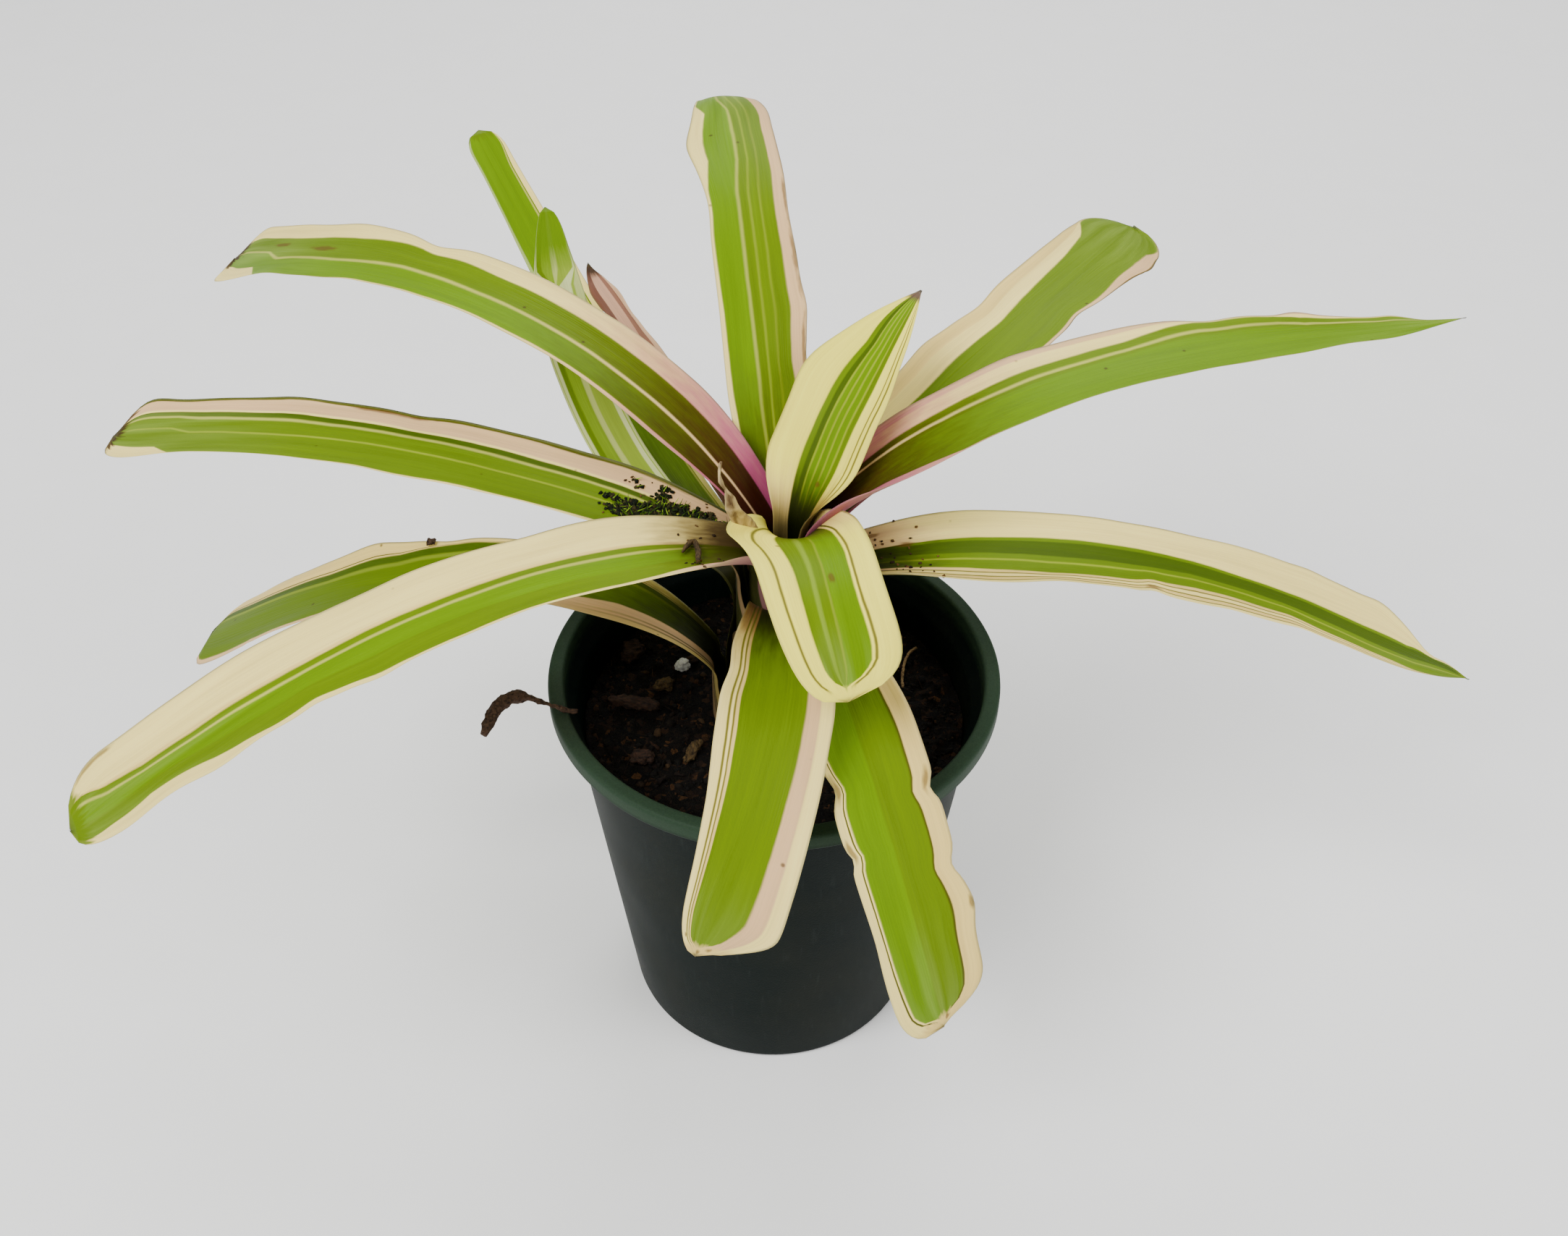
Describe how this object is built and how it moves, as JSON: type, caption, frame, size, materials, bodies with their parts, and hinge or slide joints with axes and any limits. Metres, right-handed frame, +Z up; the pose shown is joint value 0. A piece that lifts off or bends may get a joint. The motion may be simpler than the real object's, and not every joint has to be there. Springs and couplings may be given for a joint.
{
  "type": "potted bromeliad",
  "caption": "Bromeliad with cream-edged green strap leaves in a loose rosette, growing in a round tapered plastic nursery pot.",
  "frame": {"origin": "centre of the pot's base, on the surface that it stands on", "axes": "+Z up along the pot's axis, +X to the plant's right and +Y to its back, seen from the side where two leaves hang over the rim"},
  "size_m": [0.4237, 0.294, 0.2604],
  "materials": {
    "pot_plastic": "matte, lightly scuffed dark green-grey",
    "potting_mix": "dark crumbly peat and bark",
    "root_wood": "fibrous",
    "striped_leaf": "smooth satin leaf, green band with cream margins",
    "pale_leaf": "smooth satin pale leaf",
    "dry_leaf": "dry and papery",
    "dry_stalk": "dry and rough",
    "bark": "rough bark",
    "litter": "damp crumbs and moss",
    "perlite": "porous white grain"
  },
  "bodies": {
    "root": {"pot": "pot_plastic", "potting_soil": "potting_mix", "rootstock": "root_wood", "leaf_heart": "striped_leaf", "leaf_cup_front": "striped_leaf", "leaf_right_long": "striped_leaf", "leaf_upper_left": "striped_leaf", "leaf_back_right": "striped_leaf", "leaf_left_long": "striped_leaf", "leaf_back_upright": "striped_leaf", "leaf_right_low": "striped_leaf", "leaf_left_mid": "striped_leaf", "leaf_back_dry": "dry_leaf", "leaf_front_middle": "striped_leaf", "leaf_front_right": "striped_leaf", "leaf_back_pale": "pale_leaf", "leaf_back_left": "striped_leaf", "leaf_left_low": "striped_leaf", "dry_sheath_tip": "dry_leaf", "dry_stub": "dry_stalk", "dry_twig": "dry_stalk", "bark_chip_back": "bark", "bark_chip_long": "bark", "bark_chip_middle": "bark", "bark_chip_sliver": "bark", "bark_chip_front": "bark", "perlite_grain": "perlite", "dry_root_long": "dry_stalk", "dry_root_short": "dry_stalk", "litter_left": "litter", "litter_back": "litter", "fallen_bud": "dry_stalk"}
  },
  "joints": []
}
